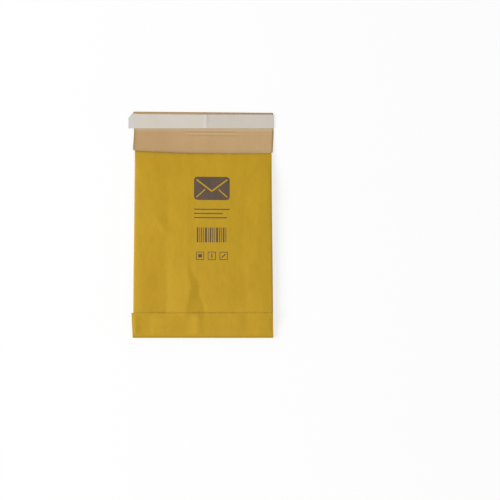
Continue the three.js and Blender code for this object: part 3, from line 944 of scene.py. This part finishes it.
def long_strip(name, left, right, low, high, height, material, **marks):
    """A strip along X: its ends and height are functions of the place, and it widens a little to the left."""
    y = np.linspace(low, high, STRIP_GRID_ROWS)[:, None]
    share = np.linspace(0, 1, STRIP_GRID_COLUMNS)
    x = left(y) + share * (right(y) - left(y))
    slant = LINER_SLANT * ease(-x, *SLANT_SPAN) + TAB_SLANT * ease(-x, *TAB_SPAN)
    flat = y + slant * (y - low) / (high - low)
    points = np.stack([x, flat, height(x, flat)], -1).reshape(-1, 3)
    blank = (np.stack([x, flat], -1) + STRIP_ON_BLANK).reshape(-1, 2)
    numbers = np.arange(x.size).reshape(x.shape)
    values = {label: mark(x, y + 0.0 * x).ravel() for label, mark in marks.items()}
    return make_piece(name, points, quads(numbers)[:, ::-1], material, blank, **values)


def glue_height(x, y):
    """The upper side of the glue."""
    return facing_top(x, y) + 2 * TOUCH + GLUE_THICKNESS


def glue_left(y):
    """Left end of the glue: inside the flap by its margin."""
    return GLUE_MARGIN - BODY_WIDTH / 2 + 0.0 * y


def glue_right(y):
    """Right end of the glue: inside the flap by its margin."""
    return BODY_WIDTH / 2 - GLUE_MARGIN + 0.0 * y


glue = long_strip(
    "glue_line", glue_left, glue_right, LINER_FROM + GLUE_MARGIN, LINER_TO - GLUE_MARGIN,
    glue_height, glue_material(),
)
thicken(glue, GLUE_THICKNESS)
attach(glue, "root")
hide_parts("adhesive_strip")

# %% Lay the liner
LINER_LEFT_TAB, LINER_RIGHT_TAB, LINER_CORNER_CUT = 5.5, 0.8, 5.0
# The kink's place, height and reach, the step down beside it, and its rubbed line.
KINK, KINK_HEIGHT, KINK_REACH, KINK_STEP, KINK_STEP_END = 2.9, 0.45, 1.6, 0.12, 8.0
KINK_LINE, KINK_WEAR, KINK_LINE_REACH = 2.6, 0.7, 0.8
# The tab lifts from this place outwards, with a power of the distance.
TAB_START, TAB_LIFT, TAB_POWER = -74.0, 0.06, 1.4
# A painted highlight along the liner's two long edges, and its reach.
LINER_EDGE_HIGHLIGHT, LINER_EDGE_REACH = 0.5, 0.6
# Darker parts: where the liner lies flat, its cut corner, and a line at its right end.
FLAT_SHADE, FLAT_FULL, FLAT_END = 0.22, 5.0, 3.0
CUT_SHADE, CUT_REACH = 1.6, 0.9
END_SHADE, END_REACH, END_INSET = 0.6, 0.6, 0.4


def liner_height(x, y):
    """The upper side of the liner: on the glue, with soft waves, its kink and its lifted tab."""
    seat = glue_height(x, y) + TOUCH + LINER_THICKNESS
    waves = 0.08 * (1 + np.sin(x / 9.0 + 0.4)) + 0.05 * (1 + np.sin(x / 4.7 + y / 3.0))
    kink = KINK_HEIGHT * np.exp(-np.abs(x - KINK) / KINK_REACH) + KINK_STEP * ease(x, KINK_STEP_END, KINK)
    tab = TAB_LIFT * np.maximum(TAB_START - x, 0.0) ** TAB_POWER
    return seat + waves + kink + tab


def liner_wear(x, y):
    """Palest past the flap's sides, where no tan shows through, pale along the kink, painted highlight on the
    edges.
    """
    edge = np.exp(-(LINER_TO - y) / LINER_EDGE_REACH) + np.exp(-(y - LINER_FROM) / LINER_EDGE_REACH)
    free = ease(np.abs(x), BODY_WIDTH / 2 - 1.0, BODY_WIDTH / 2 + 0.5)
    line = KINK_WEAR * np.exp(-np.abs(x - KINK_LINE) / KINK_LINE_REACH)
    return np.clip(line + LINER_EDGE_HIGHLIGHT * edge + free, 0, 1)


def liner_left(y):
    """Left end of the liner: past the flap, with the upper corner of its tab cut off at a slant."""
    return -BODY_WIDTH / 2 - LINER_LEFT_TAB + np.maximum(y - LINER_TO + LINER_CORNER_CUT, 0.0)


def liner_right(y):
    """Right end of the liner: a little past the flap."""
    return BODY_WIDTH / 2 + LINER_RIGHT_TAB + 0.0 * y


def liner_press(x, y):
    """Darker where the liner lies flat on the glue, right of its kink, at its right end and cut corner."""
    flat = FLAT_SHADE * ease(x, KINK_LINE, FLAT_FULL) * ease(BODY_WIDTH / 2 - x, 0.0, FLAT_END)
    at_corner = ease(y, LINER_TO - LINER_CORNER_CUT, LINER_TO)
    cut = CUT_SHADE * np.exp(-(x - liner_left(y)) / CUT_REACH) * at_corner
    end = END_SHADE * np.exp(-np.abs(x - BODY_WIDTH / 2 + END_INSET) / END_REACH)
    return np.maximum(np.maximum(flat, cut), end)


liner = long_strip(
    "release_liner_strip", liner_left, liner_right, LINER_FROM, LINER_TO, liner_height, release_paper,
    wear=liner_wear, press=liner_press,
)
thicken(liner, LINER_THICKNESS)
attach(liner, "root")
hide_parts("release_liner")

# %% [markdown]
# ## The print
#
# The back carries a small plain print in dark brown: a letter sign, ruled lines, a block of bars
# and three marks. An image would be the usual way, but simple shapes are crisper as thin skins of
# ink that follow the paper: each stroke is a small grid whose height is the paper's own.

# %% Make ink and strokes
INK_LIFT, STROKE_STEP = 0.05, 0.9
PANEL_ROWS, PANEL_COLUMNS = 36, 44
# The print's place on its blank, from its place on the plan.
PRINT_ON_BLANK = 90.0


def ink_material():
    """Brown ink on rough paper: darker where it lies thick, with the paper showing faintly through."""
    material, tree, shader = new_material("brown ink")
    grain = put(tree, "ShaderNodeGroup", node_tree=paper_grain, Fibre_Strength=1.0)
    tree.links.new(solid_places(tree), grain.inputs["Place"])
    thin = put(tree, "ShaderNodeMapRange", {"Value": grain.outputs["Tone"]}, From_Min=-0.25, From_Max=0.6)
    share = thin.outputs["Result"]
    colour = mix_colour(tree, share, (0.055, 0.032, 0.022), (0.13, 0.075, 0.035))
    tree.links.new(colour, shader.inputs["Base Color"])
    tree.links.new(calc(tree, "ADD", calc(tree, "MULTIPLY", share, 0.2), 0.5), shader.inputs["Roughness"])
    tree.links.new(bump(tree, grain.outputs["Height"], 0.2, GRAIN_HEIGHT), shader.inputs["Normal"])
    return material


def stroke(start, end, width):
    """A straight stroke as a grid of plan places: along its length, and across its width."""
    start, end = np.array(start, float), np.array(end, float)
    run = end - start
    length = np.hypot(*run)
    side = np.array([-run[1], run[0]]) / length * width / 2
    along = np.linspace(0, 1, max(2, int(length / STROKE_STEP) + 1))[:, None, None]
    across = np.linspace(1, -1, max(2, int(width / STROKE_STEP) + 1))[None, :, None]
    return start + run * along + side * across


def panel(x, y, wide, tall, corner):
    """A filled box with round corners: each row is as wide as the corners' arcs leave it."""
    rows = np.linspace(1, -1, PANEL_ROWS) * tall / 2
    past = np.maximum(np.abs(rows) - tall / 2 + corner, 0.0)
    half = wide / 2 - corner + np.sqrt(np.maximum(corner**2 - past**2, 0.0))
    share = np.linspace(-1, 1, PANEL_COLUMNS)[:, None]
    return np.stack([x + share * half, y + rows + 0.0 * share], axis=-1)


def frame_strokes(x, y, wide, tall, width):
    """The four strokes of an outlined box about a middle."""
    a, b, c, d = x - wide / 2, x + wide / 2, y - tall / 2, y + tall / 2
    h = width / 2
    return [
        stroke((a - h, c), (b + h, c), width),
        stroke((a - h, d), (b + h, d), width),
        stroke((a, c + h), (a, d - h), width),
        stroke((b, c + h), (b, d - h), width),
    ]


def printed(name, strokes, lift, material):
    """One mesh of all strokes, each lifted from the plan onto the back paper."""
    points, faces, count = [], [], 0
    for plan in strokes:
        x, y = plan[..., 0], plan[..., 1]
        points.append(np.stack([x, y, back_outside(x, y) + lift], -1).reshape(-1, 3))
        faces.append(quads(np.arange(x.size).reshape(x.shape) + count))
        count += x.size
    points = np.concatenate(points)
    none = np.zeros(count)
    blank = points[:, :2] + PRINT_ON_BLANK
    return make_piece(name, skew(points), np.concatenate(faces), material, blank, wear=none, press=none)


print(f"ink lies {INK_LIFT} mm above the paper")

# %% Print the back
# All rows of the print share a middle line, and have their places along the bag.
COLUMN = 9.5
SIGN_MIDDLE, SIGN_WIDE, SIGN_TALL, SIGN_CORNER = 61.5, 38.0, 25.0, 3.5
# The letter's bare lines: its flap from the corners to a tip, and its seams from the corners inwards.
FLAP_CORNER, FLAP_TIP, FLAP_LINE = (16.5, 71.0), 58.5, 1.5
SEAM_CORNER, SEAM_END, SEAM_LINE = (16.5, 52.0), (7.0, 60.5), 1.1
# Ruled lines as (y, length), and bars by their widths.
RULES, RULE_LINE = ((39.0, 38.0), (34.5, 31.0), (30.0, 35.0)), 1.1
BAR_WIDTHS = np.array([1.5, 0.7, 1.0, 0.7, 2.0, 0.7, 1.5, 1.0, 0.7, 2.0, 1.0, 0.7, 1.5, 0.7])
BAR_GAP, BARS_LEFT, BARS_LOW, BARS_HIGH = 1.2, COLUMN - 16.0, 3.5, 19.5
# Three framed marks: their places, and the dot, the upright and the slanted stroke in them.
MARK_PLACES, MARK_ROW, MARK_SIZE, MARK_LINE = (-3.0, COLUMN, 22.0), -11.0, 8.0, 0.7
DOT_HALF, DOT_LINE, UPRIGHT_HALF, SLANT_HALF, SIGN_LINE = 2.0, 3.6, 2.5, 2.0, 1.1

letter = [panel(COLUMN, SIGN_MIDDLE, SIGN_WIDE, SIGN_TALL, SIGN_CORNER)]
sign_lines = [
    stroke((COLUMN - FLAP_CORNER[0], FLAP_CORNER[1]), (COLUMN, FLAP_TIP), FLAP_LINE),
    stroke((COLUMN, FLAP_TIP), (COLUMN + FLAP_CORNER[0], FLAP_CORNER[1]), FLAP_LINE),
    stroke((COLUMN - SEAM_CORNER[0], SEAM_CORNER[1]), (COLUMN - SEAM_END[0], SEAM_END[1]), SEAM_LINE),
    stroke((COLUMN + SEAM_CORNER[0], SEAM_CORNER[1]), (COLUMN + SEAM_END[0], SEAM_END[1]), SEAM_LINE),
]
print_left = COLUMN - SIGN_WIDE / 2
rules = [stroke((print_left, y), (print_left + length, y), RULE_LINE) for y, length in RULES]
bar_middles = BARS_LEFT + np.cumsum(BAR_WIDTHS + BAR_GAP) - BAR_GAP - BAR_WIDTHS / 2
bars = [stroke((x, BARS_LOW), (x, BARS_HIGH), width) for x, width in zip(bar_middles, BAR_WIDTHS)]
dot, upright, slanted = MARK_PLACES
marks = [s for x in MARK_PLACES for s in frame_strokes(x, MARK_ROW, MARK_SIZE, MARK_SIZE, MARK_LINE)]
marks += [
    stroke((dot - DOT_HALF, MARK_ROW), (dot + DOT_HALF, MARK_ROW), DOT_LINE),
    stroke((upright, MARK_ROW - UPRIGHT_HALF), (upright, MARK_ROW + UPRIGHT_HALF), SIGN_LINE),
    stroke(
        (slanted - SLANT_HALF, MARK_ROW - SLANT_HALF),
        (slanted + SLANT_HALF, MARK_ROW + SLANT_HALF),
        SIGN_LINE,
    ),
]

ink = printed("printed_marks", letter + rules + bars + marks, INK_LIFT, ink_material())
bare = printed("unprinted_lines", sign_lines, 2 * INK_LIFT, ochre_kraft)
for skin in (ink, bare):
    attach(skin, "root")

# %% [markdown]
# ## The table
#
# The bag lies on a near-white table. A plain white floor would go grey towards the picture's edges,
# so most of what the camera sees of it is a plain white glow, and the rest takes the bag's shadow.

# %% Set the table
# Half the table's size, its points along a side, how far it lies under the bag, and the glow's share.
TABLE_HALF, TABLE_POINTS, TABLE_DROP, TABLE_GLOW = 3000.0, 13, 0.2, 0.7


def seen_directly(tree):
    """1 for rays from the camera and for those that a shiny or clear surface sends on, or else 0."""
    path = put(tree, "ShaderNodeLightPath").outputs
    mirrored = calc(tree, "MAXIMUM", path["Is Glossy Ray"], path["Is Transmission Ray"])
    return calc(tree, "MAXIMUM", path["Is Camera Ray"], mirrored)


def table_material():
    """A white table: seen or mirrored, most of it is plain white, and the rest takes the shadow."""
    material, tree, shader = new_material("white table")
    cloud = noise(tree, solid_places(tree), 0.01, (1.0, 1.0, 1.0))
    colour = mix_colour(tree, cloud, (0.96, 0.96, 0.96), (0.98, 0.98, 0.98))
    tree.links.new(colour, shader.inputs["Base Color"])
    shader.inputs["Roughness"].default_value = 0.9
    shader.inputs["Specular IOR Level"].default_value = 0.1
    white = put(tree, "ShaderNodeEmission")
    glow = calc(tree, "MULTIPLY", seen_directly(tree), TABLE_GLOW)
    blend = put(tree, "ShaderNodeMixShader", {"Fac": glow})
    tree.links.new(shader.outputs["BSDF"], blend.inputs[1])
    tree.links.new(white.outputs["Emission"], blend.inputs[2])
    tree.links.new(blend.outputs["Shader"], tree.nodes["Material Output"].inputs["Surface"])
    return material


table_side = np.linspace(-TABLE_HALF, TABLE_HALF, TABLE_POINTS)
table_x, table_y = np.meshgrid(table_side, table_side)
table_points = np.stack([table_x, table_y, 0.0 * table_x - TABLE_DROP], -1).reshape(-1, 3)
table_faces = quads(np.arange(table_x.size).reshape(table_x.shape))[:, ::-1]
table_mesh = bpy.data.meshes.new("table")
table_mesh.from_pydata((table_points * MM).tolist(), [], table_faces.tolist())
table_mesh.materials.append(table_material())
table = bpy.data.objects.new("table", table_mesh)
bpy.context.scene.collection.objects.link(table)
print(f"table of {len(table_faces)} faces")

# %% [markdown]
# ## Light and camera
#
# Most of the light is even, from the whole sky, and a large soft lamp to the left gives the dents
# their shade. Together they are as bright as a white page in plain light, so a colour renders about
# as it is written. The camera looks straight down.

# %% Set the light and the camera
# The sky's brightness on surfaces, and the lamp's place and size in metres and its power in watts.
SKY = 0.58
LAMP_PLACE, LAMP_SIZE, LAMP_POWER = (-3.49, -0.28, 2.79), 3.0, 147.0
# The picture's pixels, the millimetres that one of them shows at the bag's mean height, and that height.
PIXELS, MM_PER_PIXEL, MEAN_HEIGHT = 500, 1.0702, 6.0
# The lens and the sensor in millimetres, the nearest and farthest view and the picture's middle in metres.
LENS, SENSOR, NEAR, FAR = 85.0, 36.0, 0.05, 20.0
PICTURE_MIDDLE = (0.0502, -0.0050)

world = bpy.data.worlds.new("even sky")
world.use_nodes = True
sky = world.node_tree
background = sky.nodes["Background"]
background.inputs["Color"].default_value = (1.0, 1.0, 1.0, 1.0)
seen_white = calc(sky, "MULTIPLY", seen_directly(sky), 1.0 - SKY)
sky.links.new(calc(sky, "ADD", seen_white, SKY), background.inputs["Strength"])
bpy.context.scene.world = world

lamp_data = bpy.data.lights.new("soft lamp", "AREA")
lamp_data.shape = "DISK"
lamp_data.size = LAMP_SIZE
lamp_data.energy = LAMP_POWER
lamp = bpy.data.objects.new("soft lamp", lamp_data)
lamp.location = LAMP_PLACE
lamp.rotation_euler = lamp.location.to_track_quat("Z", "Y").to_euler()
bpy.context.scene.collection.objects.link(lamp)

camera_height = PIXELS * MM_PER_PIXEL * LENS / SENSOR + MEAN_HEIGHT
camera_data = bpy.data.cameras.new("camera")
camera_data.lens, camera_data.sensor_width = LENS, SENSOR
camera_data.clip_start, camera_data.clip_end = NEAR, FAR
camera = bpy.data.objects.new("camera", camera_data)
camera.location = (*PICTURE_MIDDLE, camera_height * MM)
bpy.context.scene.collection.objects.link(camera)
bpy.context.scene.camera = camera
bpy.context.scene.view_settings.view_transform = "Standard"
print(f"camera {camera.location.z:.3f} m above the table")
